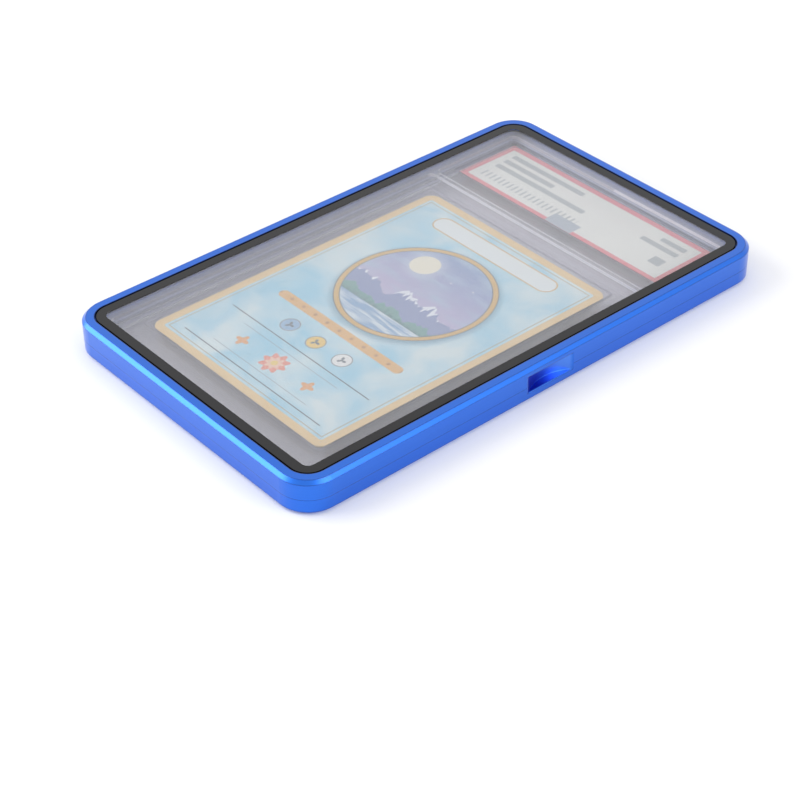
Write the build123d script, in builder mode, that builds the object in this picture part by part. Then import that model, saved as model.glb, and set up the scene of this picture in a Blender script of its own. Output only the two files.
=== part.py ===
"""Graded card case: a two-part magnetic metal frame with clear panes, closed round one graded slab.

Millimetres. The case lies on its back: +Z is up through the front pane, +Y runs towards the
label end and +X towards the side with the thumb notch. The origin is at the bottom centre.
"""
import os

from build123d import *

os.makedirs("parts", exist_ok=True)

# The card and its label
card_w = 63.0
card_l = 88.0
card_t = 0.32
card_corner_r = 3.0
label_w = 70.0
label_l = 20.0
label_t = 0.25
label_corner_r = 0.5

# The slab, a welded pair of clear shells with a well each for the card and the label
slab_corner_r = 3.0
slab_edge_r = 0.3
perimeter_w = 3.6
side_gap = 0.8
foot_gap = 6.1
head_gap = 0.3
card_to_label = 12.2
well_fit = 0.3
well_wall = 0.8
well_corner_r = 1.5
rail_w = 3.35
rail_h = 0.8
plate_t = 1.2
ledge_w = 1.5
ledge_h = 0.4
card_headroom = 0.38
weld_above_ledge = 0.15
wall_above_card = 0.05
wall_gap = 0.05
bar_above_card = 4.8
bar_w = 1.4
sight_side = 6.4
sight_foot = 9.3
sight_head = 5.5
sight_depth = 0.15

# The metal frame, in two halves
slab_gap = 0.2
side_wall = 3.05
end_wall = 3.2
case_corner_r = 8.0
edge_chamfer = 0.9
rim_w = 2.05
lip_w = 1.4
lip_t = 0.6
base_grip = 2.2
parting_bevel = 0.05
lid_play = 0.1

# The thumb notch, in the right-hand wall
notch_l = 14.2
notch_depth = 2.3
notch_above = 2.8
notch_below = 1.5
notch_break = 0.2

# The panes, their black borders, the tape and the liners
pane_recess = 0.1
pane_t = 0.8
pane_gap = 0.3
pane_bevel = 0.12
tape_t = 0.1
tape_inset = 0.1
border_w = 2.6
border_t = 0.04
border_inset = 0.15
border_corner_r = 1.8
liner_t = 0.3
liner_inset = 0.1

# The magnets
magnet_l = 10.0
magnet_w = 1.6
magnet_h = 2.0
magnet_fit = 0.05
magnet_sink = 0.05
magnet_from_corner = 33.0
magnet_end_spread = 44.0

# The slab is as large as its two wells, its gaps and its walls make it
well_rim = well_fit + well_wall
slab_w = max(card_w, label_w) + 2 * (well_rim + side_gap + perimeter_w)
slab_l = card_l + card_to_label + label_l + foot_gap + head_gap + 2 * (well_rim + perimeter_w)
slab_t = ledge_h + card_t + card_headroom + 2 * (rail_h + plate_t)

# Derived plan sizes
pocket_w = slab_w + 2 * slab_gap
pocket_l = slab_l + 2 * slab_gap
pocket_r = slab_corner_r + slab_gap
case_w = pocket_w + 2 * side_wall
case_l = pocket_l + 2 * end_wall
seat_w = case_w - 2 * (edge_chamfer + rim_w)
seat_l = case_l - 2 * (edge_chamfer + rim_w)
seat_r = case_corner_r - edge_chamfer - rim_w
lip_open_w = seat_w - 2 * lip_w
lip_open_l = seat_l - 2 * lip_w
lip_open_r = seat_r - lip_w
pane_w = seat_w - 2 * pane_gap
pane_l = seat_l - 2 * pane_gap
pane_r = seat_r - pane_gap
border_out_w = pane_w - 2 * border_inset
border_out_l = pane_l - 2 * border_inset
border_out_r = pane_r - border_inset
clear_w = pane_w - 2 * border_w
clear_l = pane_l - 2 * border_w

# Derived heights, from the ground up
seat_depth = pane_recess + pane_t + tape_t
lip_top = seat_depth + lip_t
slab_z0 = lip_top + liner_t
slab_z1 = slab_z0 + slab_t
case_t = slab_z1 + lid_play + slab_z0
parting_z = slab_z0 + base_grip
back_plate_top = slab_z0 + rail_h + plate_t
front_plate_bottom = slab_z1 - rail_h - plate_t
card_z0 = back_plate_top + ledge_h
weld_z = card_z0 + weld_above_ledge
well_top = card_z0 + card_t + wall_above_card

# Derived places inside the slab
card_y = perimeter_w + foot_gap + well_rim + card_l / 2 - slab_l / 2
label_y = slab_l / 2 - perimeter_w - head_gap - well_rim - label_l / 2
bar_y0 = card_y + card_l / 2 + bar_above_card
bar_y1 = bar_y0 + bar_w
rail_x = slab_w / 2 - rail_w
rail_y = slab_l / 2 - rail_w
cavity_w = slab_w - 2 * perimeter_w
cavity_l = slab_l - 2 * perimeter_w
sight_y0 = sight_foot - slab_l / 2
sight_y1 = slab_l / 2 - sight_head

# The notch is an arc in plan: its chord is the opening and its sagitta is the depth
notch_r = ((notch_l / 2) ** 2 + notch_depth ** 2) / (2 * notch_depth)
notch_x = case_w / 2 + notch_r - notch_depth

# Two magnets stand in each wall, clear of the notch and of the rounded corners
magnet_slot_w = magnet_w + 2 * magnet_fit
wall_x = (pocket_w + side_wall) / 2
wall_y = (pocket_l + end_wall) / 2
side_y = case_l / 2 - magnet_from_corner
end_x = magnet_end_spread / 2
magnet_places = [Location((sx * wall_x, sy * side_y, 0), (0, 0, 90)) for sx in (-1, 1) for sy in (-1, 1)]
magnet_places += [Location((sx * end_x, sy * wall_y, 0)) for sx in (-1, 1) for sy in (-1, 1)]


# Back frame: a milled ring with its window seat below, a thin lip, and the slab's pocket above
with BuildPart() as back_frame:
    with BuildSketch(Plane.XY):
        RectangleRounded(case_w, case_l, case_corner_r)
    extrude(amount=parting_z)
    chamfer(back_frame.edges().group_by(Axis.Z)[0], length=edge_chamfer)
    chamfer(back_frame.edges().group_by(Axis.Z)[-1], length=parting_bevel)
    with BuildSketch(Plane.XY.offset(lip_top)):
        RectangleRounded(pocket_w, pocket_l, pocket_r)
    extrude(amount=parting_z - lip_top, mode=Mode.SUBTRACT)
    with BuildSketch(Plane.XY):
        RectangleRounded(seat_w, seat_l, seat_r)
    extrude(amount=seat_depth, mode=Mode.SUBTRACT)
    with BuildSketch(Plane.XY.offset(seat_depth)):
        RectangleRounded(lip_open_w, lip_open_l, lip_open_r)
    extrude(amount=lip_t, mode=Mode.SUBTRACT)
    with BuildSketch(Plane.XY.offset(parting_z)):
        with Locations(*magnet_places):
            SlotCenterToCenter(magnet_l, magnet_slot_w)
    extrude(amount=-(magnet_h + magnet_sink), mode=Mode.SUBTRACT)
    with BuildSketch(Plane.XY.offset(parting_z - notch_below)):
        with Locations((notch_x, 0)):
            Circle(notch_r)
    extrude(amount=notch_below, mode=Mode.SUBTRACT)
    notch_face_edges = back_frame.edges().filter_by_position(Axis.X, case_w / 2 - 0.01, case_w / 2 + 0.01)
    chamfer(notch_face_edges.filter_by(lambda edge: edge.length < notch_l + 0.01), length=notch_break)

back_frame.part.label = "back_frame"
export_step(back_frame.part, "parts/back_frame.step")


# Front frame: the same ring turned over and taller, with the upper part of the notch
with BuildPart() as front_frame:
    with BuildSketch(Plane.XY.offset(parting_z)):
        RectangleRounded(case_w, case_l, case_corner_r)
    extrude(amount=case_t - parting_z)
    chamfer(front_frame.edges().group_by(Axis.Z)[-1], length=edge_chamfer)
    chamfer(front_frame.edges().group_by(Axis.Z)[0], length=parting_bevel)
    with BuildSketch(Plane.XY.offset(parting_z)):
        RectangleRounded(pocket_w, pocket_l, pocket_r)
    extrude(amount=case_t - lip_top - parting_z, mode=Mode.SUBTRACT)
    with BuildSketch(Plane.XY.offset(case_t - seat_depth)):
        RectangleRounded(seat_w, seat_l, seat_r)
    extrude(amount=seat_depth, mode=Mode.SUBTRACT)
    with BuildSketch(Plane.XY.offset(case_t - lip_top)):
        RectangleRounded(lip_open_w, lip_open_l, lip_open_r)
    extrude(amount=lip_t, mode=Mode.SUBTRACT)
    with BuildSketch(Plane.XY.offset(parting_z)):
        with Locations(*magnet_places):
            SlotCenterToCenter(magnet_l, magnet_slot_w)
    extrude(amount=magnet_h + magnet_sink, mode=Mode.SUBTRACT)
    with BuildSketch(Plane.XY.offset(parting_z)):
        with Locations((notch_x, 0)):
            Circle(notch_r)
    extrude(amount=notch_above, mode=Mode.SUBTRACT)
    notch_face_edges = front_frame.edges().filter_by_position(Axis.X, case_w / 2 - 0.01, case_w / 2 + 0.01)
    chamfer(notch_face_edges.filter_by(lambda edge: edge.length < notch_l + 0.01), length=notch_break)

front_frame.part.label = "front_frame"
export_step(front_frame.part, "parts/front_frame.step")


# Each half's pane, border, tape and liner are the same pieces, set out from that half's outer face
for half, face_z, inward in (("back", 0.0, 1), ("front", case_t, -1)):
    pane_face_z = face_z + inward * pane_recess

    # Clear pane, let into the seat with a fine gap all round
    with BuildPart() as window:
        with BuildSketch(Plane.XY.offset(pane_face_z)):
            RectangleRounded(pane_w, pane_l, pane_r)
        extrude(amount=inward * pane_t)
        outer_edges = window.edges().group_by(Axis.Z)[0 if inward > 0 else -1]
        chamfer(outer_edges, length=pane_bevel)
    window.part.label = f"{half}_window"
    export_step(window.part, f"parts/{half}_window.step")

    # Black border printed on the pane's outer face
    with BuildPart() as window_border:
        with BuildSketch(Plane.XY.offset(pane_face_z)):
            RectangleRounded(border_out_w, border_out_l, border_out_r)
            RectangleRounded(clear_w, clear_l, border_corner_r, mode=Mode.SUBTRACT)
        extrude(amount=-inward * border_t)
    window_border.part.label = f"{half}_window_border"
    export_step(window_border.part, f"parts/{half}_window_border.step")

    # Tape ring between the pane and the lip
    with BuildPart() as window_tape:
        with BuildSketch(Plane.XY.offset(pane_face_z + inward * pane_t)):
            RectangleRounded(pane_w - 2 * tape_inset, pane_l - 2 * tape_inset, pane_r - tape_inset)
            RectangleRounded(lip_open_w, lip_open_l, lip_open_r, mode=Mode.SUBTRACT)
        extrude(amount=inward * tape_t)
    window_tape.part.label = f"{half}_window_tape"
    export_step(window_tape.part, f"parts/{half}_window_tape.step")

    # Foam liner on the inner face of the lip, which the slab lies against
    with BuildPart() as liner:
        with BuildSketch(Plane.XY.offset(face_z + inward * lip_top)):
            RectangleRounded(pocket_w - 2 * liner_inset, pocket_l - 2 * liner_inset, pocket_r - liner_inset)
            RectangleRounded(lip_open_w, lip_open_l, lip_open_r, mode=Mode.SUBTRACT)
        extrude(amount=inward * liner_t)
    liner.part.label = f"{half}_liner"
    export_step(liner.part, f"parts/{half}_liner.step")


# Bar magnets, pressed in just below the two mating faces so that each faces its partner
for half, magnet_z in (("back", parting_z - magnet_sink - magnet_h), ("front", parting_z + magnet_sink)):
    for number, place in enumerate(magnet_places, start=1):
        with BuildPart() as magnet:
            with BuildSketch(Plane.XY.offset(magnet_z)):
                with Locations(place):
                    Rectangle(magnet_l, magnet_w)
            extrude(amount=magnet_h)
        magnet.part.label = f"{half}_magnet_{number}"
        export_step(magnet.part, f"parts/{half}_magnet_{number}.step")


# Slab back shell: outer rails and bar below, wells and ledges for the card and the label above
with BuildPart() as slab_back_shell:
    with BuildSketch(Plane.XY.offset(slab_z0)):
        RectangleRounded(slab_w, slab_l, slab_corner_r)
    extrude(amount=weld_z - slab_z0)
    fillet(slab_back_shell.edges().group_by(Axis.Z)[0], radius=slab_edge_r)
    with BuildSketch(Plane.XY.offset(slab_z0)):
        with Locations((0, (bar_y0 - rail_y) / 2)):
            RectangleRounded(2 * rail_x, bar_y0 + rail_y, well_corner_r)
        with Locations((0, (bar_y1 + rail_y) / 2)):
            RectangleRounded(2 * rail_x, rail_y - bar_y1, well_corner_r)
    extrude(amount=rail_h, mode=Mode.SUBTRACT)
    with BuildSketch(Plane.XY.offset(back_plate_top)):
        RectangleRounded(cavity_w, cavity_l, well_corner_r)
    extrude(amount=weld_z - back_plate_top, mode=Mode.SUBTRACT)
    for width, length, centre_y in ((card_w, card_l, card_y), (label_w, label_l, label_y)):
        with BuildSketch(Plane.XY.offset(back_plate_top)):
            with Locations((0, centre_y)):
                RectangleRounded(width + 2 * well_rim, length + 2 * well_rim, well_corner_r)
                Rectangle(width + 2 * well_fit, length + 2 * well_fit, mode=Mode.SUBTRACT)
        extrude(amount=well_top - back_plate_top)
        with BuildSketch(Plane.XY.offset(back_plate_top)):
            with Locations((0, centre_y)):
                Rectangle(width + 2 * well_fit, length + 2 * well_fit)
                Rectangle(width - 2 * ledge_w, length - 2 * ledge_w, mode=Mode.SUBTRACT)
        extrude(amount=ledge_h)

slab_back_shell.part.label = "slab_back_shell"
export_step(slab_back_shell.part, "parts/slab_back_shell.step")


# Slab front shell: rails and bar on top, a shallow sight recess and closing walls underneath
with BuildPart() as slab_front_shell:
    with BuildSketch(Plane.XY.offset(weld_z)):
        RectangleRounded(slab_w, slab_l, slab_corner_r)
    extrude(amount=slab_z1 - weld_z)
    fillet(slab_front_shell.edges().group_by(Axis.Z)[-1], radius=slab_edge_r)
    with BuildSketch(Plane.XY.offset(slab_z1)):
        with Locations((0, (bar_y0 - rail_y) / 2)):
            RectangleRounded(2 * rail_x, bar_y0 + rail_y, well_corner_r)
        with Locations((0, (bar_y1 + rail_y) / 2)):
            RectangleRounded(2 * rail_x, rail_y - bar_y1, well_corner_r)
    extrude(amount=-rail_h, mode=Mode.SUBTRACT)
    with BuildSketch(Plane.XY.offset(weld_z)):
        RectangleRounded(cavity_w, cavity_l, well_corner_r)
    extrude(amount=front_plate_bottom - weld_z, mode=Mode.SUBTRACT)
    with BuildSketch(Plane.XY.offset(front_plate_bottom)):
        with Locations((0, (sight_y0 + sight_y1) / 2)):
            RectangleRounded(slab_w - 2 * sight_side, sight_y1 - sight_y0, well_corner_r)
    extrude(amount=sight_depth, mode=Mode.SUBTRACT)
    for width, length, centre_y in ((card_w, card_l, card_y), (label_w, label_l, label_y)):
        with BuildSketch(Plane.XY.offset(well_top + wall_gap)):
            with Locations((0, centre_y)):
                RectangleRounded(width + 2 * well_rim, length + 2 * well_rim, well_corner_r)
                Rectangle(width + 2 * well_fit, length + 2 * well_fit, mode=Mode.SUBTRACT)
        extrude(amount=front_plate_bottom + sight_depth - well_top - wall_gap)

slab_front_shell.part.label = "slab_front_shell"
export_step(slab_front_shell.part, "parts/slab_front_shell.step")


# The card lies on the ledges of its well
with BuildPart() as trading_card:
    with BuildSketch(Plane.XY.offset(card_z0)):
        with Locations((0, card_y)):
            RectangleRounded(card_w, card_l, card_corner_r)
    extrude(amount=card_t)

trading_card.part.label = "trading_card"
export_step(trading_card.part, "parts/trading_card.step")


# The printed label lies in its own well above the card
with BuildPart() as grading_label:
    with BuildSketch(Plane.XY.offset(card_z0)):
        with Locations((0, label_y)):
            RectangleRounded(label_w, label_l, label_corner_r)
    extrude(amount=label_t)

grading_label.part.label = "grading_label"
export_step(grading_label.part, "parts/grading_label.step")
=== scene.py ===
"""Looks for a graded card case: two anodised frame halves with panes, closed round a clear slab.

Metres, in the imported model's frame: the case lies on its back, +Z up, +Y towards the label end and
+X towards the side with the thumb notch. Prints and marks on flat faces are placed in millimetres.
The pieces are dressed in the order they go together.
"""
import math

import bpy
from mathutils import Matrix, Vector


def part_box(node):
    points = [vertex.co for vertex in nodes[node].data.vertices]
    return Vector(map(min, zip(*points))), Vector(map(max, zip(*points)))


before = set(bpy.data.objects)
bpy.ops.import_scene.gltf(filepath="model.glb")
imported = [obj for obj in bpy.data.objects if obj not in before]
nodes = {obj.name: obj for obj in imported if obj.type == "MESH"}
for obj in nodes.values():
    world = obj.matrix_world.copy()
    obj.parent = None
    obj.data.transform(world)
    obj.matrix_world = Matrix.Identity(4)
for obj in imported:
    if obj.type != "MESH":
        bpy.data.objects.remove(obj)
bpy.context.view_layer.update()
MM = 0.001


# Frame halves: two rings milled from aluminium plate, bead-blasted and dyed blue in the anodising bath.
# The blasting leaves an even grain over faint cutter lines, and the clear oxide skin over the dye gives
# a soft second sheen. The milled edges are slightly broken, and painted shade darkens the colour there.
def colour(hex_value):
    """An sRGB hex value as linear red, green, blue and alpha."""
    channels = [int(hex_value[i:i + 2], 16) / 255 for i in (0, 2, 4)]
    return [c / 12.92 if c <= 0.04045 else ((c + 0.055) / 1.055) ** 2.4 for c in channels] + [1.0]


def add_node(tree, kind, inputs=None, **settings):
    """Adds a node, applies its settings, and sets or links its inputs by name or number."""
    node = tree.nodes.new(kind)
    for name, value in settings.items():
        setattr(node, name, value)
    for key, value in (inputs or {}).items():
        if isinstance(value, bpy.types.NodeSocket):
            tree.links.new(value, node.inputs[key])
        else:
            node.inputs[key].default_value = value
    return node


def new_material(name):
    """An empty material and its node tree."""
    material = bpy.data.materials.new(name)
    material.use_nodes = True
    material.node_tree.nodes.clear()
    return material, material.node_tree


def dress(node_names, material):
    """Gives carried-over pieces their finished material."""
    for name in node_names:
        nodes[name].material_slots[0].material = material


def flat_place(tree, centre):
    """Object coordinates in millimetres from a centre in metres, with no height."""
    where = add_node(tree, "ShaderNodeTexCoord").outputs["Object"]
    return add_node(tree, "ShaderNodeMapping", {
        "Vector": where, "Location": (-centre[0] / MM, -centre[1] / MM, 0),
        "Scale": (1 / MM, 1 / MM, 0)}).outputs["Vector"]


def oblong(tree, point, centre, size, corner=0.0):
    """The distance in millimetres outside a rounded oblong. It is negative within."""
    away = add_node(tree, "ShaderNodeVectorMath", {0: point, 1: (*centre, 0)}, operation="SUBTRACT")
    fold = add_node(tree, "ShaderNodeVectorMath", {0: away.outputs[0]}, operation="ABSOLUTE")
    past = add_node(tree, "ShaderNodeVectorMath", {
        0: fold.outputs[0], 1: (size[0] / 2 - corner, size[1] / 2 - corner, 0)}, operation="SUBTRACT")
    outer = add_node(tree, "ShaderNodeVectorMath", {0: past.outputs[0], 1: (0, 0, 0)}, operation="MAXIMUM")
    reach = add_node(tree, "ShaderNodeVectorMath", {0: outer.outputs[0]}, operation="LENGTH")
    split = add_node(tree, "ShaderNodeSeparateXYZ", {0: past.outputs[0]}).outputs
    deeper = add_node(tree, "ShaderNodeMath", {0: split[0], 1: split[1]}, operation="MAXIMUM")
    inner = add_node(tree, "ShaderNodeMath", {0: deeper.outputs[0], 1: 0.0}, operation="MINIMUM")
    whole = add_node(tree, "ShaderNodeMath", {
        0: reach.outputs["Value"], 1: inner.outputs[0]}, operation="ADD")
    return add_node(tree, "ShaderNodeMath", {
        0: whole.outputs[0], 1: corner}, operation="SUBTRACT").outputs[0]


# The real grain and cutter lines are finer. They are drawn this coarse so that they show.
blast_grain = 0.40 * MM
cutter_line = 0.30 * MM
cutter_stretch = 0.012
dye_drift = 18.0 * MM
edge_break = 0.45 * MM
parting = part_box("back_frame")[1].z
lap_height, lap_fade = 0.5 * MM, 0.2 * MM

# The thumb notch is an arc in plan, whose chord is its opening.
outer_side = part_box("front_frame")[1].x
notch_length, notch_depth = 14.2 * MM, 2.3 * MM
notch_low, notch_high = parting - 1.5 * MM, parting + 2.8 * MM
notch_radius = ((notch_length / 2) ** 2 + notch_depth ** 2) / (2 * notch_depth)
notch_centre = (outer_side - notch_depth + notch_radius, 0.0)
notch_spare = 0.05 * MM
# The notch's painted shade starts just inside the side, and runs from dark to light along it.
notch_shade_starts, notch_shade_full = outer_side - 0.03 * MM, outer_side - 0.45 * MM
notch_dark_end, notch_pale_end = -3.0 * MM, 4.0 * MM

# Each pane lies in a seat that is a little larger, so a narrow groove is left round it.
pane_low, pane_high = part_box("front_window")
pane_gap = 0.3
seat_size = [side / MM + 2 * pane_gap for side in (pane_high - pane_low)[:2]]
seat_corner, seat_spare = 5.05, 0.06
groove_depth = 0.95 * MM
case_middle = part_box("front_frame")[1].z / 2

anodised, tree = new_material("blue_anodised_aluminium")
place = add_node(tree, "ShaderNodeTexCoord").outputs["Object"]
grain = add_node(tree, "ShaderNodeTexNoise", {
    "Vector": place, "Scale": 1 / blast_grain, "Detail": 3.0, "Roughness": 0.6}).outputs["Fac"]
drift = add_node(tree, "ShaderNodeTexNoise", {
    "Vector": place, "Scale": 1 / dye_drift, "Detail": 3.0, "Roughness": 0.5}).outputs["Fac"]
along = add_node(tree, "ShaderNodeMapping", {
    "Vector": place, "Scale": (cutter_stretch, cutter_stretch, 1.0)}).outputs["Vector"]
lines = add_node(tree, "ShaderNodeTexNoise", {
    "Vector": along, "Scale": 1 / cutter_line, "Detail": 2.0}).outputs["Fac"]
dye = add_node(tree, "ShaderNodeMix", {
    "Factor": drift, "A": colour("1167d6"), "B": colour("156dde")}, data_type="RGBA").outputs["Result"]
milled = add_node(tree, "ShaderNodeMix", {
    "Factor": lines, "A": dye, "B": colour("1971e4")}, data_type="RGBA").outputs["Result"]
tone = add_node(tree, "ShaderNodeMapRange", {
    "Value": grain, "From Min": 0.25, "From Max": 0.75, "To Min": 0.35, "To Max": 0.41}).outputs["Result"]

# The two halves are lapped where they meet, so there the edges stay sharp and the joint is only a
# fine line.
spot = add_node(tree, "ShaderNodeSeparateXYZ", {0: place}).outputs
from_parting = add_node(tree, "ShaderNodeMath", {0: spot[2], 1: parting}, operation="SUBTRACT").outputs[0]
from_parting = add_node(tree, "ShaderNodeMath", {0: from_parting}, operation="ABSOLUTE").outputs[0]
broken = add_node(tree, "ShaderNodeMapRange", {
    "Value": from_parting, "From Min": lap_height, "From Max": lap_height + lap_fade}).outputs["Result"]
rounded = add_node(tree, "ShaderNodeBevel", {"Radius": edge_break}, samples=6).outputs["Normal"]
flat = add_node(tree, "ShaderNodeNewGeometry").outputs["Normal"]
tilt = add_node(tree, "ShaderNodeSeparateXYZ", {0: flat}).outputs[2]
tilt = add_node(tree, "ShaderNodeMath", {0: tilt}, operation="ABSOLUTE").outputs[0]
level_face = add_node(tree, "ShaderNodeMath", {0: tilt, 1: 0.9}, operation="GREATER_THAN").outputs[0]
kept = add_node(tree, "ShaderNodeMath", {0: broken, 1: level_face}, operation="MAXIMUM").outputs[0]
kept = add_node(tree, "ShaderNodeCombineXYZ", {0: 1.0, 1: 1.0, 2: kept}).outputs[0]
lapped = add_node(tree, "ShaderNodeVectorMath", {0: flat, 1: kept}, operation="MULTIPLY").outputs[0]
lapped = add_node(tree, "ShaderNodeVectorMath", {0: lapped}, operation="NORMALIZE").outputs[0]
edges = add_node(tree, "ShaderNodeMix", {
    "Factor": broken, "A": lapped, "B": rounded}, data_type="VECTOR").outputs["Result"]
turned = add_node(tree, "ShaderNodeVectorMath", {
    0: edges, 1: flat}, operation="DOT_PRODUCT").outputs["Value"]
# Painted shade: the colour turns darker where the rounded normal leans away from the face, along the edges.
at_edge = add_node(tree, "ShaderNodeMapRange", {
    "Value": turned, "From Min": 0.998, "From Max": 0.94, "To Max": 0.9}).outputs["Result"]
edge_shaded = add_node(tree, "ShaderNodeMix", {
    "Factor": at_edge, "A": milled, "B": colour("083a8c")}, data_type="RGBA").outputs["Result"]

# Painted shade and light in the notch: darker towards the foot of the case, and lighter towards the head.
level = add_node(tree, "ShaderNodeCombineXYZ", {0: spot[0], 1: spot[1]}).outputs[0]
off_centre = add_node(tree, "ShaderNodeVectorMath", {
    0: level, 1: (*notch_centre, 0)}, operation="DISTANCE").outputs["Value"]
on_arc = add_node(tree, "ShaderNodeMath", {
    0: off_centre, 1: notch_radius + notch_spare}, operation="LESS_THAN").outputs[0]
rise = add_node(tree, "ShaderNodeMath", {
    0: spot[2], 1: (notch_low + notch_high) / 2}, operation="SUBTRACT").outputs[0]
rise = add_node(tree, "ShaderNodeMath", {0: rise}, operation="ABSOLUTE").outputs[0]
in_height = add_node(tree, "ShaderNodeMath", {
    0: rise, 1: (notch_high - notch_low) / 2 + notch_spare}, operation="LESS_THAN").outputs[0]
sunk = add_node(tree, "ShaderNodeMapRange", {
    "Value": spot[0], "From Min": notch_shade_starts, "From Max": notch_shade_full}).outputs["Result"]
in_notch = add_node(tree, "ShaderNodeMath", {0: on_arc, 1: in_height}, operation="MULTIPLY").outputs[0]
in_notch = add_node(tree, "ShaderNodeMath", {0: in_notch, 1: sunk}, operation="MULTIPLY").outputs[0]
towards_head = add_node(tree, "ShaderNodeMapRange", {
    "Value": spot[1], "From Min": notch_dark_end, "From Max": notch_pale_end}).outputs["Result"]
notch_painted_shading = add_node(tree, "ShaderNodeMix", {
    "Factor": towards_head, "A": colour("0638c0"), "B": colour("4a88ee")},
    data_type="RGBA").outputs["Result"]
shaded_dye = add_node(tree, "ShaderNodeMix", {
    "Factor": in_notch, "A": edge_shaded, "B": notch_painted_shading}, data_type="RGBA").outputs["Result"]

# Painted shade in the seat: its wall is near-black, and only the groove round the pane shows it.
in_seat = oblong(tree, flat_place(tree, (0, 0)), (0, 0), seat_size, seat_corner)
in_seat = add_node(tree, "ShaderNodeMath", {0: in_seat, 1: seat_spare}, operation="LESS_THAN").outputs[0]
near_face = add_node(tree, "ShaderNodeMath", {0: spot[2], 1: case_middle}, operation="SUBTRACT").outputs[0]
near_face = add_node(tree, "ShaderNodeMath", {0: near_face}, operation="ABSOLUTE").outputs[0]
near_face = add_node(tree, "ShaderNodeMath", {
    0: near_face, 1: case_middle - groove_depth}, operation="GREATER_THAN").outputs[0]
in_groove = add_node(tree, "ShaderNodeMath", {0: in_seat, 1: near_face}, operation="MULTIPLY").outputs[0]
in_groove = add_node(tree, "ShaderNodeMath", {0: in_groove, 1: 0.9}, operation="MULTIPLY").outputs[0]
dye_and_painted_shade = add_node(tree, "ShaderNodeMix", {
    "Factor": in_groove, "A": shaded_dye, "B": colour("06143c")}, data_type="RGBA").outputs["Result"]

cut = add_node(tree, "ShaderNodeBump", {
    "Strength": 0.2, "Distance": 0.004 * MM, "Height": lines, "Normal": edges}).outputs["Normal"]
pebble = add_node(tree, "ShaderNodeBump", {
    "Strength": 0.25, "Distance": 0.006 * MM, "Height": grain, "Normal": cut}).outputs["Normal"]
surface = add_node(tree, "ShaderNodeBsdfPrincipled", {
    "Base Color": dye_and_painted_shade, "Metallic": 1.0, "Roughness": tone, "Normal": pebble,
    "Coat Weight": 0.75, "Coat Roughness": 0.28, "Coat IOR": 1.5})
add_node(tree, "ShaderNodeOutputMaterial", {"Surface": surface.outputs["BSDF"]})
dress(["front_frame", "back_frame"], anodised)


# Panes: 0.8 mm cast acrylic, cut by laser and let into each frame. Cast sheet is flat, so it shows a
# crisp reflection. The front one is clear. The back one is opal grey, the even ground behind the slab.
# Their cut edges and the strip of face outside the border are matt black, as painted shade in the groove
# round them.
def let_lamps_through(tree, shader, tint):
    """Finishes a material so that lamps and scattered light shine through it on to what it covers."""
    path = add_node(tree, "ShaderNodeLightPath")
    clear = add_node(tree, "ShaderNodeBsdfTransparent", {"Color": colour(tint)})
    for ray in ("Is Diffuse Ray", "Is Shadow Ray"):
        shader = add_node(tree, "ShaderNodeMixShader", {
            0: path.outputs[ray], 1: shader, 2: clear.outputs["BSDF"]}).outputs["Shader"]
    add_node(tree, "ShaderNodeOutputMaterial", {"Surface": shader})


border_low, border_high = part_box("front_window_border")
border_size = [side / MM for side in (border_high - border_low)[:2]]
border_corner = 4.6
edge_shade_overlap = 0.03
handling_film = 14.0 * MM

for side, name, dim, light, clearness in (
    ("front", "clear_cast_acrylic", "fafafc", "fefefe", 1.0),
    ("back", "opal_cast_acrylic", "d7d7e2", "dddde6", 0.0),
):
    acrylic, tree = new_material(name)
    place = add_node(tree, "ShaderNodeTexCoord").outputs["Object"]
    film = add_node(tree, "ShaderNodeTexNoise", {
        "Vector": place, "Scale": 1 / handling_film, "Detail": 5.0, "Roughness": 0.6}).outputs["Fac"]
    tint = add_node(tree, "ShaderNodeMix", {
        "Factor": film, "A": colour(dim), "B": colour(light)}, data_type="RGBA").outputs["Result"]
    sheet = add_node(tree, "ShaderNodeBsdfPrincipled", {
        "Base Color": tint, "Roughness": 0.0, "IOR": 1.49, "Transmission Weight": clearness})
    edge = oblong(tree, flat_place(tree, (0, 0)), (0, 0), border_size, border_corner)
    # Painted shade: matt black outside the border, down into the groove.
    edge_shade_mask = add_node(tree, "ShaderNodeMath", {0: edge, 1: -edge_shade_overlap}, operation="GREATER_THAN")
    ink = add_node(tree, "ShaderNodeBsdfPrincipled", {
        "Base Color": colour("060608"), "Roughness": 0.9, "Specular IOR Level": 0.05})
    whole = add_node(tree, "ShaderNodeMixShader", {
        0: edge_shade_mask.outputs[0], 1: sheet.outputs["BSDF"], 2: ink.outputs["BSDF"]})
    let_lamps_through(tree, whole.outputs["Shader"], "f4f4f6")
    dress([f"{side}_window"], acrylic)


# Borders: gloss black screen-printed on the panes' outer faces, to hide the tape and the lip. The
# ink is nearly black, and what shows of it is mostly the white room that it mirrors.
ink_patch = 3.0 * MM
print_black, tree = new_material("black_screen_print")
place = add_node(tree, "ShaderNodeTexCoord").outputs["Object"]
ink_film = add_node(tree, "ShaderNodeTexNoise", {
    "Vector": place, "Scale": 1 / ink_patch, "Detail": 4.0}).outputs["Fac"]
sheen = add_node(tree, "ShaderNodeMapRange", {
    "Value": ink_film, "From Min": 0.3, "From Max": 0.7, "To Min": 0.07, "To Max": 0.13})
surface = add_node(tree, "ShaderNodeBsdfPrincipled", {
    "Base Color": colour("08080a"), "Roughness": sheen.outputs["Result"], "IOR": 1.5})
add_node(tree, "ShaderNodeOutputMaterial", {"Surface": surface.outputs["BSDF"]})
dress(["front_window_border", "back_window_border"], print_black)


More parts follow.
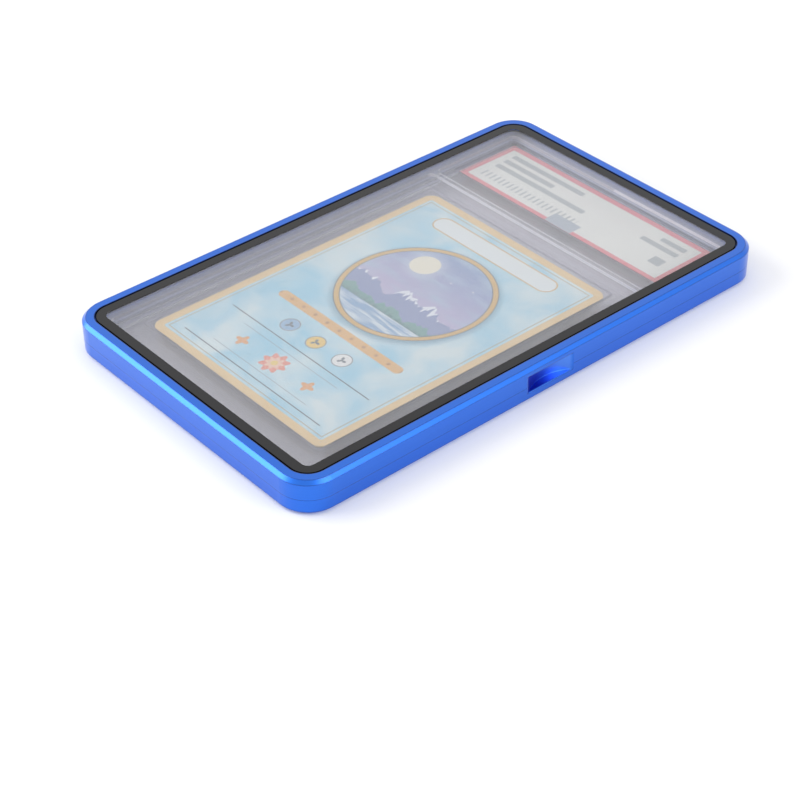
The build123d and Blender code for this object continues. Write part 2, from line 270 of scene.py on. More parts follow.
# Tapes: thin double-sided acrylic foam tape that holds each pane to its lip. It is matt grey-black
# and slightly uneven where it was pressed down.
press_mark = 2.0 * MM
tape, tree = new_material("acrylic_foam_tape")
place = add_node(tree, "ShaderNodeTexCoord").outputs["Object"]
press = add_node(tree, "ShaderNodeTexNoise", {"Vector": place, "Scale": 1 / press_mark, "Detail": 3.0})
shade = add_node(tree, "ShaderNodeMix", {
    "Factor": press.outputs["Fac"], "A": colour("1c1c1e"), "B": colour("2a2a2c")}, data_type="RGBA")
surface = add_node(tree, "ShaderNodeBsdfPrincipled", {
    "Base Color": shade.outputs["Result"], "Roughness": 0.75, "IOR": 1.48})
add_node(tree, "ShaderNodeOutputMaterial", {"Surface": surface.outputs["BSDF"]})
dress(["front_window_tape", "back_window_tape"], tape)


# Liners: rings die-cut from closed-cell foam sheet, stuck to the lips so that the slab neither
# rattles nor gets scratched. The cut cells make the face matt with a fine pitted grain.
foam_cell = 0.3 * MM
pit_depth = 0.05 * MM
foam, tree = new_material("closed_cell_foam")
place = add_node(tree, "ShaderNodeTexCoord").outputs["Object"]
cells = add_node(tree, "ShaderNodeTexVoronoi", {
    "Vector": place, "Scale": 1 / foam_cell}).outputs["Distance"]
shade = add_node(tree, "ShaderNodeMix", {
    "Factor": cells, "A": colour("151517"), "B": colour("252528")}, data_type="RGBA")
pits = add_node(tree, "ShaderNodeBump", {"Strength": 0.6, "Distance": pit_depth, "Height": cells})
surface = add_node(tree, "ShaderNodeBsdfPrincipled", {
    "Base Color": shade.outputs["Result"], "Roughness": 0.9, "IOR": 1.45,
    "Normal": pits.outputs["Normal"]})
add_node(tree, "ShaderNodeOutputMaterial", {"Surface": surface.outputs["BSDF"]})
dress(["front_liner", "back_liner"], foam)


# Magnets: sintered neodymium bars, nickel-plated and pressed into slots in both halves. The plating
# is bright but faintly rippled, because it follows the ground surface below it.
ripple_width = 0.6 * MM
nickel, tree = new_material("nickel_plated_magnet")
place = add_node(tree, "ShaderNodeTexCoord").outputs["Object"]
ripple = add_node(tree, "ShaderNodeTexNoise", {
    "Vector": place, "Scale": 1 / ripple_width, "Detail": 3.0}).outputs["Fac"]
tone = add_node(tree, "ShaderNodeMapRange", {
    "Value": ripple, "From Min": 0.3, "From Max": 0.7, "To Min": 0.16, "To Max": 0.30})
plate = add_node(tree, "ShaderNodeMix", {
    "Factor": ripple, "A": colour("c4bfb5"), "B": colour("d2cdc4")}, data_type="RGBA")
surface = add_node(tree, "ShaderNodeBsdfPrincipled", {
    "Base Color": plate.outputs["Result"], "Metallic": 1.0, "Roughness": tone.outputs["Result"]})
add_node(tree, "ShaderNodeOutputMaterial", {"Surface": surface.outputs["BSDF"]})
dress([name for name in nodes if "_magnet_" in name], nickel)


# Slab: two shells moulded in clear polystyrene and welded round the card. The plates are polished, the
# weld and the rails round them are cloudy, and handling has left a few white scuffs near a corner.
def moulding_marks(tree, least_haze, most_haze, rail_haze):
    """How much light each spot of a shell stops, how far outside the edge it is, and its normal, unsigned."""
    place = add_node(tree, "ShaderNodeTexCoord").outputs["Object"]
    point = flat_place(tree, (0, 0))
    edge = oblong(tree, point, (0, 0), slab_size, slab_corner)
    rail = add_node(tree, "ShaderNodeMapRange", {
        "Value": edge, "From Min": -rail_width - 0.1, "From Max": -rail_width + 0.1}).outputs["Result"]
    cloud = add_node(tree, "ShaderNodeTexNoise", {
        "Vector": place, "Scale": 1 / cloud_patch, "Detail": 5.0, "Roughness": 0.6}).outputs["Fac"]
    haze = add_node(tree, "ShaderNodeMapRange", {
        "Value": cloud, "From Min": 0.3, "From Max": 0.7,
        "To Min": least_haze, "To Max": most_haze}).outputs["Result"]
    specks = add_node(tree, "ShaderNodeTexVoronoi", {
        "Vector": place, "Scale": 1 / scuff_gap}).outputs["Distance"]
    fleck = add_node(tree, "ShaderNodeMapRange", {
        "Value": specks, "From Min": 0.11, "From Max": 0.07}).outputs["Result"]
    from_scuffs = add_node(tree, "ShaderNodeVectorMath", {
        0: point, 1: (*scuffs_centre, 0)}, operation="DISTANCE").outputs["Value"]
    near = add_node(tree, "ShaderNodeMapRange", {
        "Value": from_scuffs, "From Min": scuffs_reach, "From Max": scuffs_core,
        "To Max": 0.8}).outputs["Result"]
    scuff = add_node(tree, "ShaderNodeMath", {
        0: fleck, 1: near, 2: haze}, operation="MULTIPLY_ADD").outputs[0]
    cover = add_node(tree, "ShaderNodeMath", {
        0: rail, 1: rail_haze, 2: scuff}, operation="MULTIPLY_ADD").outputs[0]
    normal = add_node(tree, "ShaderNodeNewGeometry").outputs["Normal"]
    unsigned = add_node(tree, "ShaderNodeVectorMath", {0: normal}, operation="ABSOLUTE").outputs[0]
    return cover, edge, add_node(tree, "ShaderNodeSeparateXYZ", {0: unsigned}).outputs


slab_low, slab_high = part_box("slab_back_shell")
slab_size = [side / MM for side in (slab_high - slab_low)[:2]]
slab_corner, edge_round, rail_width = 3.0, 0.3, 3.65
cloud_patch = 9.0 * MM
scuff_gap = 1.5 * MM
scuffs_centre, scuffs_core, scuffs_reach = (36.0, -62.0), 2.0, 15.0
weld, front_top = (corner.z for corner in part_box("slab_front_shell"))
rail_height, plate_thickness = 0.8 * MM, 1.2 * MM
rail_foot = front_top - rail_height
plate_under = rail_foot - plate_thickness
rim_line_starts, rim_line_full = 0.18 * MM, 0.28 * MM
head_fade_starts, head_fade_ends = 50.0 * MM, 60.0 * MM
# A hair's breadth keeps a face that lies right on a limit on its own side of it.
hair = 0.01 * MM

shell, tree = new_material("moulded_polystyrene")
cover, edge, normal = moulding_marks(tree, least_haze=0.03, most_haze=0.045, rail_haze=0.09)
clearness = add_node(tree, "ShaderNodeMath", {0: 1.0, 1: cover}, operation="SUBTRACT", use_clamp=True)
body = add_node(tree, "ShaderNodeBsdfPrincipled", {
    "Base Color": colour("f7f7f7"), "Roughness": 0.0, "IOR": 1.57,
    "Transmission Weight": clearness.outputs[0]})

# Light passes straight through the weld and the upright walls under the plate.
place = add_node(tree, "ShaderNodeTexCoord").outputs["Object"]
spot = add_node(tree, "ShaderNodeSeparateXYZ", {0: place}).outputs
upright = add_node(tree, "ShaderNodeMath", {0: normal[2], 1: 0.5}, operation="LESS_THAN").outputs[0]
under = add_node(tree, "ShaderNodeMath", {
    0: spot[2], 1: plate_under - hair}, operation="LESS_THAN").outputs[0]
either = add_node(tree, "ShaderNodeMath", {0: under, 1: upright}, operation="MAXIMUM").outputs[0]
inside = add_node(tree, "ShaderNodeMath", {0: edge, 1: -edge_round}, operation="LESS_THAN").outputs[0]
straight = add_node(tree, "ShaderNodeMath", {0: either, 1: inside}, operation="MULTIPLY").outputs[0]
bare_wall = add_node(tree, "ShaderNodeBsdfTransparent")

# The upright walls of the rails and the bar are drawn grey, with painted shade on the side away from the
# notch.
# Where they face the long way, a painted highlight line runs along their top and foot. It fades at the head.
above_plate = add_node(tree, "ShaderNodeMath", {
    0: spot[2], 1: rail_foot - hair}, operation="GREATER_THAN").outputs[0]
from_middle = add_node(tree, "ShaderNodeMath", {
    0: spot[2], 1: rail_foot + rail_height / 2}, operation="SUBTRACT").outputs[0]
from_middle = add_node(tree, "ShaderNodeMath", {0: from_middle}, operation="ABSOLUTE").outputs[0]
rim_line = add_node(tree, "ShaderNodeMapRange", {
    "Value": from_middle, "From Min": rim_line_starts, "From Max": rim_line_full}).outputs["Result"]
fade = add_node(tree, "ShaderNodeMapRange", {
    "Value": spot[1], "From Min": head_fade_starts, "From Max": head_fade_ends,
    "To Min": 1.0, "To Max": 0.3}).outputs["Result"]
lengthwise = add_node(tree, "ShaderNodeMath", {0: normal[1], 1: fade}, operation="MULTIPLY").outputs[0]
painted_highlight = add_node(tree, "ShaderNodeMath", {0: rim_line, 1: lengthwise}, operation="MULTIPLY").outputs[0]
light_side = add_node(tree, "ShaderNodeMath", {0: spot[0], 1: 0.0}, operation="GREATER_THAN").outputs[0]
light_side = add_node(tree, "ShaderNodeMath", {
    0: light_side, 1: lengthwise}, operation="MAXIMUM").outputs[0]
grey = add_node(tree, "ShaderNodeMix", {
    "Factor": light_side, "A": colour("a2a2ae"), "B": colour("dadae2")}, data_type="RGBA").outputs["Result"]
wall_painted_light = add_node(tree, "ShaderNodeMix", {
    "Factor": painted_highlight, "A": grey, "B": colour("f8f8fa")}, data_type="RGBA").outputs["Result"]
rail_wall = add_node(tree, "ShaderNodeBsdfDiffuse", {"Color": wall_painted_light})
seen = add_node(tree, "ShaderNodeMath", {0: above_plate, 1: upright}, operation="MULTIPLY").outputs[0]
wall = add_node(tree, "ShaderNodeMixShader", {
    0: seen, 1: bare_wall.outputs["BSDF"], 2: rail_wall.outputs["BSDF"]})
whole = add_node(tree, "ShaderNodeMixShader", {
    0: straight, 1: body.outputs["BSDF"], 2: wall.outputs["Shader"]})

# The ring at the foot, where the shell is welded to the one below, is cloudy.
at_weld = add_node(tree, "ShaderNodeMath", {0: spot[2], 1: weld + hair}, operation="LESS_THAN").outputs[0]
on_ring = add_node(tree, "ShaderNodeMath", {0: edge, 1: -rail_width}, operation="GREATER_THAN").outputs[0]
cloudy = add_node(tree, "ShaderNodeMath", {0: at_weld, 1: on_ring}, operation="MULTIPLY")
weld_ring = add_node(tree, "ShaderNodeBsdfDiffuse", {"Color": colour("d4d8e8")})
whole = add_node(tree, "ShaderNodeMixShader", {
    0: cloudy.outputs[0], 1: whole.outputs["Shader"], 2: weld_ring.outputs["BSDF"]})
let_lamps_through(tree, whole.outputs["Shader"], "f2f2f2")
dress(["slab_front_shell"], shell)

# The back shell lies on the opal pane, where bent light would not show, so it is drawn as a clear film
# with a gloss, and in the rails with a veil of uneven tone. The walls inside are bare.
film, tree = new_material("moulded_polystyrene_back")
cover, edge, normal = moulding_marks(tree, least_haze=0.0, most_haze=0.0, rail_haze=1.0)
upright = add_node(tree, "ShaderNodeMath", {0: normal[2], 1: 0.5}, operation="LESS_THAN").outputs[0]
within = add_node(tree, "ShaderNodeMath", {
    0: edge, 1: -rail_width - 0.05}, operation="LESS_THAN").outputs[0]
inner_wall = add_node(tree, "ShaderNodeMath", {0: within, 1: upright}, operation="MULTIPLY").outputs[0]
shown = add_node(tree, "ShaderNodeMath", {0: 1.0, 1: inner_wall}, operation="SUBTRACT").outputs[0]
cover = add_node(tree, "ShaderNodeMath", {
    0: cover, 1: shown}, operation="MULTIPLY", use_clamp=True).outputs[0]
facing = add_node(tree, "ShaderNodeLayerWeight", {"Blend": 0.5}).outputs["Facing"]
grazing = add_node(tree, "ShaderNodeMath", {0: facing, 1: 5.0}, operation="POWER").outputs[0]
gleam = add_node(tree, "ShaderNodeMath", {
    0: grazing, 1: 0.9, 2: 0.045}, operation="MULTIPLY_ADD").outputs[0]
gleam = add_node(tree, "ShaderNodeMath", {0: gleam, 1: shown}, operation="MULTIPLY").outputs[0]
through = add_node(tree, "ShaderNodeBsdfTransparent", {"Color": colour("fbfbfd")})
gloss = add_node(tree, "ShaderNodeBsdfGlossy", {"Roughness": 0.03})
skin = add_node(tree, "ShaderNodeMixShader", {
    0: gleam, 1: through.outputs["BSDF"], 2: gloss.outputs["BSDF"]})
place = add_node(tree, "ShaderNodeTexCoord").outputs["Object"]
tone = add_node(tree, "ShaderNodeTexNoise", {
    "Vector": place, "Scale": 1 / cloud_patch, "Detail": 4.0}).outputs["Fac"]
milky = add_node(tree, "ShaderNodeMix", {
    "Factor": tone, "A": colour("d0d2de"), "B": colour("dadce8")}, data_type="RGBA").outputs["Result"]
veil = add_node(tree, "ShaderNodeBsdfDiffuse", {"Color": milky})
whole = add_node(tree, "ShaderNodeMixShader", {
    0: cover, 1: skin.outputs["Shader"], 2: veil.outputs["BSDF"]})
let_lamps_through(tree, whole.outputs["Shader"], "f2f2f2")
dress(["slab_back_shell"], film)


# Card: coated board, printed in four colours on both sides, varnished, and die-cut with round corners.
# The front has a cream-gold border, a winter lake in a round frame and bare plates and rules where a
# card would carry words. The back has a lattice and a rosette. All of it is made up for this part.
def disc(tree, point, centre, radius):
    """The distance in millimetres outside a disc. It is negative within."""
    away = add_node(tree, "ShaderNodeVectorMath", {0: point, 1: (*centre, 0)}, operation="DISTANCE")
    return add_node(tree, "ShaderNodeMath", {
        0: away.outputs["Value"], 1: radius}, operation="SUBTRACT").outputs[0]


def outline(tree, distance, width):
    """Turns a shape's distance into the distance of a line of that width along its edge."""
    off = add_node(tree, "ShaderNodeMath", {0: distance}, operation="ABSOLUTE").outputs[0]
    return add_node(tree, "ShaderNodeMath", {0: off, 1: width / 2}, operation="SUBTRACT").outputs[0]


def rosette(tree, point, centre, radius, petals, depth):
    """The distance outside a flower of rounded petals."""
    away = add_node(tree, "ShaderNodeVectorMath", {0: point, 1: (*centre, 0)}, operation="SUBTRACT")
    split = add_node(tree, "ShaderNodeSeparateXYZ", {0: away.outputs[0]}).outputs
    turn = add_node(tree, "ShaderNodeMath", {0: split[1], 1: split[0]}, operation="ARCTAN2").outputs[0]
    times = add_node(tree, "ShaderNodeMath", {0: turn, 1: float(petals)}, operation="MULTIPLY").outputs[0]
    lobe = add_node(tree, "ShaderNodeMath", {0: times}, operation="COSINE").outputs[0]
    edge = add_node(tree, "ShaderNodeMath", {
        0: lobe, 1: depth, 2: radius}, operation="MULTIPLY_ADD").outputs[0]
    reach = add_node(tree, "ShaderNodeVectorMath", {0: away.outputs[0]}, operation="LENGTH")
    return add_node(tree, "ShaderNodeMath", {
        0: reach.outputs["Value"], 1: edge}, operation="SUBTRACT").outputs[0]


def overprint(tree, under, distance, ink, edge=0.06):
    """Prints an ink over a layer wherever the distance is below zero, with an edge that soft."""
    mask = add_node(tree, "ShaderNodeMapRange", {"Value": distance, "From Min": edge, "From Max": -edge})
    return add_node(tree, "ShaderNodeMix", {
        "Factor": mask.outputs["Result"], "A": under, "B": ink}, data_type="RGBA").outputs["Result"]


def skyline(tree, point, level, height, width, offset):
    """The distance above a line of hills of that mean level, height and width."""
    split = add_node(tree, "ShaderNodeSeparateXYZ", {0: point}).outputs
    walk = add_node(tree, "ShaderNodeMath", {0: split[0], 1: offset}, operation="ADD").outputs[0]
    rise = add_node(tree, "ShaderNodeTexNoise", {
        "W": walk, "Scale": 1 / width, "Detail": 3.0}, noise_dimensions="1D").outputs["Fac"]
    top = add_node(tree, "ShaderNodeMath", {
        0: rise, 1: height, 2: level - height / 2}, operation="MULTIPLY_ADD").outputs[0]
    return add_node(tree, "ShaderNodeMath", {0: split[1], 1: top}, operation="SUBTRACT").outputs[0]


card_low, card_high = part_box("trading_card")
card_size = [side / MM for side in (card_high - card_low)[:2]]
card_corner, card_border = 3.0, 2.3
wash_patch, star_gap = 14.0, 3.4
lake_centre, lake_radius = (0.0, 11.0), 19.0
moon_centre, moon_radius = (-7.5, 20.5), 3.9
strip_level, pip_level, flower_level = -12.6, -19.6, -31.7
seal_radius = 15.5
board_tooth = 0.25 * MM
gold, dark_line = colour("d8ae58"), colour("5d6a70")

board, tree = new_material("varnished_card_print")
point = flat_place(tree, (card_low + card_high) / 2)
place = add_node(tree, "ShaderNodeTexCoord").outputs["Object"]
wash = add_node(tree, "ShaderNodeTexNoise", {
    "Vector": point, "Scale": 1 / wash_patch, "Detail": 3.0, "Roughness": 0.5,
    "Distortion": 0.6}).outputs["Fac"]
wash_tone = add_node(tree, "ShaderNodeMapRange", {
    "Value": wash, "From Min": 0.35, "From Max": 0.65}).outputs["Result"]
front = add_node(tree, "ShaderNodeMix", {
    "Factor": wash_tone, "A": colour("96d4ea"), "B": colour("daecec")}, data_type="RGBA").outputs["Result"]
shadow = disc(tree, point, (lake_centre[0] + 0.5, lake_centre[1] - 0.6), lake_radius + 1.4)
front = overprint(tree, front, shadow, colour("7ba9bd"), 1.0)

# The winter lake has clouds, stars and a moon over snowy peaks, hills, woods and rippled water.
split = add_node(tree, "ShaderNodeSeparateXYZ", {0: point}).outputs
height_in_sky = add_node(tree, "ShaderNodeMapRange", {
    "Value": split[1], "From Min": 4.0, "From Max": 30.0}).outputs["Result"]
sky = add_node(tree, "ShaderNodeMix", {
    "Factor": height_in_sky, "A": colour("c3b6d6"), "B": colour("6f93c4")},
    data_type="RGBA").outputs["Result"]
stretched = add_node(tree, "ShaderNodeMapping", {
    "Vector": point, "Scale": (0.06, 0.22, 1.0)}).outputs["Vector"]
clouds = add_node(tree, "ShaderNodeTexNoise", {
    "Vector": stretched, "Scale": 1.0, "Detail": 5.0, "Roughness": 0.55}).outputs["Fac"]
cloud_top = add_node(tree, "ShaderNodeMath", {0: 0.56, 1: clouds}, operation="SUBTRACT").outputs[0]
sky = overprint(tree, sky, cloud_top, colour("a9c3da"), 0.12)
star_cells = add_node(tree, "ShaderNodeTexVoronoi", {
    "Vector": point, "Scale": 1 / star_gap}).outputs["Distance"]
star = add_node(tree, "ShaderNodeMath", {0: star_cells, 1: 0.07}, operation="SUBTRACT").outputs[0]
sky = overprint(tree, sky, star, colour("f2f4ea"), 0.03)
sky = overprint(tree, sky, disc(tree, point, moon_centre, moon_radius + 0.3), colour("c9d3e2"), 2.6)
sky = overprint(tree, sky, disc(tree, point, moon_centre, moon_radius), colour("f3eed6"), 0.1)
peaks = skyline(tree, point, 8.0, 17.0, 7.0, 3.0)
sky = overprint(tree, sky, peaks, colour("7f90bc"), 0.1)
snow_line = skyline(tree, point, 8.0, 7.0, 1.4, 11.0)
snow_line = add_node(tree, "ShaderNodeMath", {0: 0.0, 1: snow_line}, operation="SUBTRACT").outputs[0]
snow = add_node(tree, "ShaderNodeMath", {0: peaks, 1: snow_line}, operation="MAXIMUM").outputs[0]
sky = overprint(tree, sky, snow, colour("e8eef4"), 0.1)
near_hills = skyline(tree, point, 2.2, 9.0, 5.0, 21.0)
sky = overprint(tree, sky, near_hills, colour("5c9a94"), 0.1)
woods = skyline(tree, point, 0.3, 5.5, 0.8, 40.0)
sky = overprint(tree, sky, woods, colour("3f7a78"), 0.1)
ripples = add_node(tree, "ShaderNodeMapping", {
    "Vector": point, "Scale": (0.10, 0.9, 1.0)}).outputs["Vector"]
wavelets = add_node(tree, "ShaderNodeTexNoise", {
    "Vector": ripples, "Scale": 1.0, "Detail": 4.0}).outputs["Fac"]
glint = add_node(tree, "ShaderNodeMapRange", {
    "Value": wavelets, "From Min": 0.42, "From Max": 0.6}).outputs["Result"]
lake = add_node(tree, "ShaderNodeMix", {
    "Factor": glint, "A": colour("7fa9cf"), "B": colour("d7e6ec")}, data_type="RGBA").outputs["Result"]
shore = add_node(tree, "ShaderNodeMath", {0: split[1], 1: 0.4}, operation="ADD").outputs[0]
sky = overprint(tree, sky, shore, lake, 0.15)

round_frame = disc(tree, point, lake_centre, lake_radius)
front = overprint(tree, front, round_frame, sky)
front = overprint(tree, front, outline(tree, round_frame, 1.7), dark_line, 0.1)
front = overprint(tree, front, outline(tree, round_frame, 1.2), gold, 0.1)

# A blank title plate stands over the lake, and a beaded strip, pips, rules and flowers under it.
title = oblong(tree, point, (0, 36.2), (42.0, 5.6), 2.8)
front = overprint(tree, front, title, colour("e8f0ee"))
front = overprint(tree, front, outline(tree, title, 0.35), gold)
strip = oblong(tree, point, (0, strip_level), (44.0, 2.8), 1.4)
front = overprint(tree, front, strip, colour("e6b264"))
beads = add_node(tree, "ShaderNodeMath", {0: split[0], 1: 2.2}, operation="PINGPONG").outputs[0]
bead_place = add_node(tree, "ShaderNodeCombineXYZ", {0: beads, 1: split[1]}).outputs[0]
bead = disc(tree, bead_place, (0, strip_level), 0.5)
bead = add_node(tree, "ShaderNodeMath", {0: bead, 1: strip}, operation="MAXIMUM").outputs[0]
front = overprint(tree, front, bead, colour("b98142"))
for across, ink in ((-9.5, "8db6d6"), (0.0, "efc95c"), (9.5, "eef0ec")):
    pip = disc(tree, point, (across, pip_level), 2.4)
    front = overprint(tree, front, pip, colour(ink))
    front = overprint(tree, front, outline(tree, pip, 0.3), colour("8a9298"))
    front = overprint(tree, front, rosette(tree, point, (across, pip_level), 0.75, 3, 0.5), dark_line)
for level, length, width, ink in (
    (-24.6, 50.0, 0.32, "4b585e"), (-38.6, 50.0, 0.32, "4b585e"),
    (-27.2, 34.0, 0.16, "8a9aa2"), (-36.2, 34.0, 0.16, "8a9aa2"),
):
    front = overprint(tree, front, oblong(tree, point, (0, level), (length, width)), colour(ink))
for radius, depth, ink in ((3.2, 0.55, "ee8f74"), (2.0, -0.4, "f6c9ae")):
    petals = rosette(tree, point, (0, flower_level), radius, 8, depth)
    front = overprint(tree, front, petals, colour(ink), 0.1)
front = overprint(tree, front, disc(tree, point, (0, flower_level), 0.9), colour("f2cf62"), 0.1)
for across in (-12.0, 12.0):
    blossom = rosette(tree, point, (across, flower_level), 1.5, 4, 0.5)
    front = overprint(tree, front, blossom, colour("e9a45e"), 0.1)

card_edge = oblong(tree, point, (0, 0), card_size, card_corner)
inner_line = add_node(tree, "ShaderNodeMath", {
    0: card_edge, 1: card_border + 0.9}, operation="ADD").outputs[0]
front = overprint(tree, front, outline(tree, inner_line, 0.22), colour("b9a26a"))
margin = add_node(tree, "ShaderNodeMath", {0: -card_border, 1: card_edge}, operation="SUBTRACT").outputs[0]
cream = add_node(tree, "ShaderNodeMix", {
    "Factor": wash, "A": colour("eac684"), "B": colour("f0d296")}, data_type="RGBA").outputs["Result"]
front = overprint(tree, front, margin, cream)

# The back has a lattice of crossed lines, with a round seal in its middle.
slanted = add_node(tree, "ShaderNodeMapping", {
    "Vector": point, "Rotation": (0, 0, math.radians(45))}).outputs["Vector"]
slanted = add_node(tree, "ShaderNodeSeparateXYZ", {0: slanted}).outputs
warp = add_node(tree, "ShaderNodeMath", {0: slanted[0], 1: 2.0}, operation="PINGPONG").outputs[0]
weft = add_node(tree, "ShaderNodeMath", {0: slanted[1], 1: 2.0}, operation="PINGPONG").outputs[0]
crossing = add_node(tree, "ShaderNodeMath", {0: warp, 1: weft}, operation="MINIMUM").outputs[0]
lattice = add_node(tree, "ShaderNodeMath", {0: crossing, 1: 0.22}, operation="SUBTRACT").outputs[0]
reverse = overprint(tree, colour("3d69a8"), lattice, colour("87a8d2"))
seal = disc(tree, point, (0, 0), seal_radius)
reverse = overprint(tree, reverse, seal, colour("2f568f"))
reverse = overprint(tree, reverse, outline(tree, seal, 0.7), gold)
reverse = overprint(tree, reverse, rosette(tree, point, (0, 0), 10.5, 12, 1.8), colour("dfc27c"))
reverse = overprint(tree, reverse, rosette(tree, point, (0, 0), 6.5, 12, -1.2), colour("3d69a8"))
reverse = overprint(tree, reverse, disc(tree, point, (0, 0), 2.6), colour("f0e4c0"))
reverse = overprint(tree, reverse, margin, cream)

depth = add_node(tree, "ShaderNodeSeparateXYZ", {0: place}).outputs[2]
middle = (card_low.z + card_high.z) / 2
side = add_node(tree, "ShaderNodeMapRange", {
    "Value": depth, "From Min": middle - 0.02 * MM, "From Max": middle + 0.02 * MM}).outputs["Result"]
printed = add_node(tree, "ShaderNodeMix", {"Factor": side, "A": reverse, "B": front}, data_type="RGBA")
tooth = add_node(tree, "ShaderNodeTexNoise", {"Vector": place, "Scale": 1 / board_tooth, "Detail": 2.0})
varnish = add_node(tree, "ShaderNodeMapRange", {
    "Value": tooth.outputs["Fac"], "From Min": 0.3, "From Max": 0.7, "To Min": 0.28, "To Max": 0.38})
surface = add_node(tree, "ShaderNodeBsdfPrincipled", {
    "Base Color": printed.outputs["Result"], "Roughness": varnish.outputs["Result"], "IOR": 1.5})
add_node(tree, "ShaderNodeOutputMaterial", {"Surface": surface.outputs["BSDF"]})
dress(["trading_card"], board)


# Label: a slip of smooth white paper, printed with a pinkish-red edge and with plain grey bars and a
# scale where a grader's words and numbers would stand. It lies in its own well above the card.
label_low, label_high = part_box("grading_label")
label_size = [side / MM for side in (label_high - label_low)[:2]]
label_corner, label_border = 0.5, 1.65
bar_height, bar_ink = 1.7, colour("a8b0b2")
scale_level, tick_gap = -5.0, 0.8
fibre_length = 0.5 * MM

slip, tree = new_material("printed_label_paper")
point = flat_place(tree, (label_low + label_high) / 2)
place = add_node(tree, "ShaderNodeTexCoord").outputs["Object"]
fibre = add_node(tree, "ShaderNodeTexNoise", {
    "Vector": place, "Scale": 1 / fibre_length, "Detail": 4.0}).outputs["Fac"]
paper = add_node(tree, "ShaderNodeMix", {
    "Factor": fibre, "A": colour("e4e6de"), "B": colour("eceee6")}, data_type="RGBA").outputs["Result"]
for centre, size in (
    ((-18.0, 5.9), (26.0, bar_height)), ((-22.0, 2.9), (18.0, bar_height)),
    ((-15.0, -0.1), (32.0, bar_height)), ((26.5, 5.6), (8.0, bar_height)),
    ((24.5, 2.6), (12.0, bar_height)), ((28.6, -2.6), (3.6, 3.2)),
):
    paper = overprint(tree, paper, oblong(tree, point, centre, size, 0.3), bar_ink, 0.2)
split = add_node(tree, "ShaderNodeSeparateXYZ", {0: point}).outputs
ticks = add_node(tree, "ShaderNodeMath", {0: split[0], 1: tick_gap}, operation="PINGPONG").outputs[0]
tick_place = add_node(tree, "ShaderNodeCombineXYZ", {0: ticks, 1: split[1]}).outputs[0]
tick = oblong(tree, tick_place, (0, scale_level), (0.55, 2.6))
scale_field = oblong(tree, point, (-14.0, scale_level), (34.0, 2.8))
tick = add_node(tree, "ShaderNodeMath", {0: tick, 1: scale_field}, operation="MAXIMUM").outputs[0]
paper = overprint(tree, paper, tick, bar_ink, 0.2)
label_edge = oblong(tree, point, (0, 0), label_size, label_corner)
margin = add_node(tree, "ShaderNodeMath", {0: -label_border, 1: label_edge}, operation="SUBTRACT").outputs[0]
paper = overprint(tree, paper, margin, colour("e67480"))
foil = oblong(tree, point, (1.0, -7.6), (9.0, 4.4), 0.3)
foil_tone = add_node(tree, "ShaderNodeMix", {
    "Factor": fibre, "A": colour("97a6b4"), "B": colour("b4bec6")}, data_type="RGBA").outputs["Result"]
paper = overprint(tree, paper, foil, foil_tone)
surface = add_node(tree, "ShaderNodeBsdfPrincipled", {"Base Color": paper, "Roughness": 0.55, "IOR": 1.47})
add_node(tree, "ShaderNodeOutputMaterial", {"Surface": surface.outputs["BSDF"]})
dress(["grading_label"], slip)


# Stage: a wide matt white floor under a plain white room, with a softbox at the left front and a
# weaker one at the right, which draw the bright lines along the frame's two near chamfers. Where the
# camera sees floor or room directly, they are a little brighter, as the photograph's ground is.
floor_reach = 3.0
corners = [(across * floor_reach, along * floor_reach, 0)
           for across, along in ((-1, -1), (1, -1), (1, 1), (-1, 1))]
floor_mesh = bpy.data.meshes.new("floor")
floor_mesh.from_pydata(corners, [], [(0, 1, 2, 3)])
floor = bpy.data.objects.new("floor", floor_mesh)
scene = bpy.context.scene
scene.collection.objects.link(floor)
white_floor, tree = new_material("white_floor")
seen_directly = add_node(tree, "ShaderNodeLightPath").outputs["Is Camera Ray"]
lift = add_node(tree, "ShaderNodeMath", {0: seen_directly, 1: 0.03}, operation="MULTIPLY")
matt = add_node(tree, "ShaderNodeBsdfDiffuse", {"Color": colour("eeeeee")})
glow = add_node(tree, "ShaderNodeEmission", {"Strength": lift.outputs[0]})
both = add_node(tree, "ShaderNodeAddShader", {0: matt.outputs["BSDF"], 1: glow.outputs["Emission"]})
add_node(tree, "ShaderNodeOutputMaterial", {"Surface": both.outputs["Shader"]})
white_floor.cycles.emission_sampling = "NONE"
floor_mesh.materials.append(white_floor)

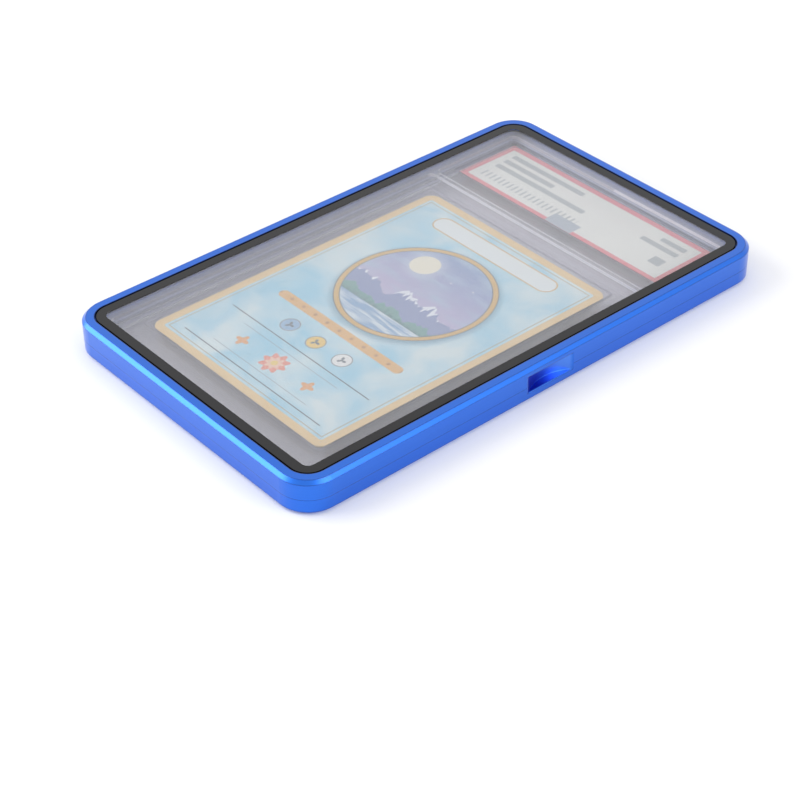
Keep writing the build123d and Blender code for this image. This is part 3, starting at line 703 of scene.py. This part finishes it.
room = bpy.data.worlds.new("white_room")
scene.world = room
room.use_nodes = True
tree = room.node_tree
tree.nodes.clear()
seen_directly = add_node(tree, "ShaderNodeLightPath").outputs["Is Camera Ray"]
strength = add_node(tree, "ShaderNodeMix", {"Factor": seen_directly, "A": 0.93, "B": 1.0})
wall_paint = add_node(tree, "ShaderNodeMix", {
    "Factor": seen_directly, "A": colour("fafafc"), "B": colour("ffffff")}, data_type="RGBA")
light = add_node(tree, "ShaderNodeBackground", {
    "Color": wall_paint.outputs["Result"], "Strength": strength.outputs["Result"]})
add_node(tree, "ShaderNodeOutputWorld", {"Surface": light.outputs[0]})
room.cycles.sampling_method = "NONE"

for name, towards, distance, size, radiance in (
    ("softbox_left", (-0.62, -0.62, 0.50), 0.65, 0.5, 3.6),
    ("softbox_right", (0.84, 0.12, 0.52), 0.65, 0.4, 2.8),
):
    lamp = bpy.data.lights.new(name, "AREA")
    lamp.shape = "SQUARE"
    lamp.size = size
    lamp.energy = radiance * math.pi * size * size
    holder = bpy.data.objects.new(name, lamp)
    direction = Vector(towards).normalized()
    holder.location = direction * distance
    holder.rotation_euler = direction.to_track_quat("Z", "Y").to_euler()
    holder.visible_camera = False
    scene.collection.objects.link(holder)

# The camera stands where the photograph was taken from: a long lens, looking down by 37 degrees.
camera_place = (0.3037, -0.2641, 0.2760)
focal_length, film_width = 91.3, 36.0
azimuth, height, roll = (math.radians(angle) for angle in (49.828, 37.005, -0.900))
back = Vector((math.sin(azimuth) * math.cos(height), -math.cos(azimuth) * math.cos(height), math.sin(height)))
right = (-back).cross(Vector((0, 0, 1))).normalized()
up = right.cross(-back)
rolled_right = right * math.cos(roll) + up * math.sin(roll)
rolled_up = up * math.cos(roll) - right * math.sin(roll)
lens = bpy.data.cameras.new("camera")
lens.lens = focal_length
lens.sensor_width = film_width
camera = bpy.data.objects.new("camera", lens)
camera.matrix_world = Matrix.Translation(camera_place) @ Matrix(
    (rolled_right, rolled_up, back)).transposed().to_4x4()
scene.collection.objects.link(camera)
scene.camera = camera
scene.view_settings.view_transform = "Standard"
scene.cycles.max_bounces = 24
scene.cycles.glossy_bounces = 8
scene.cycles.transmission_bounces = 24
scene.cycles.transparent_max_bounces = 32
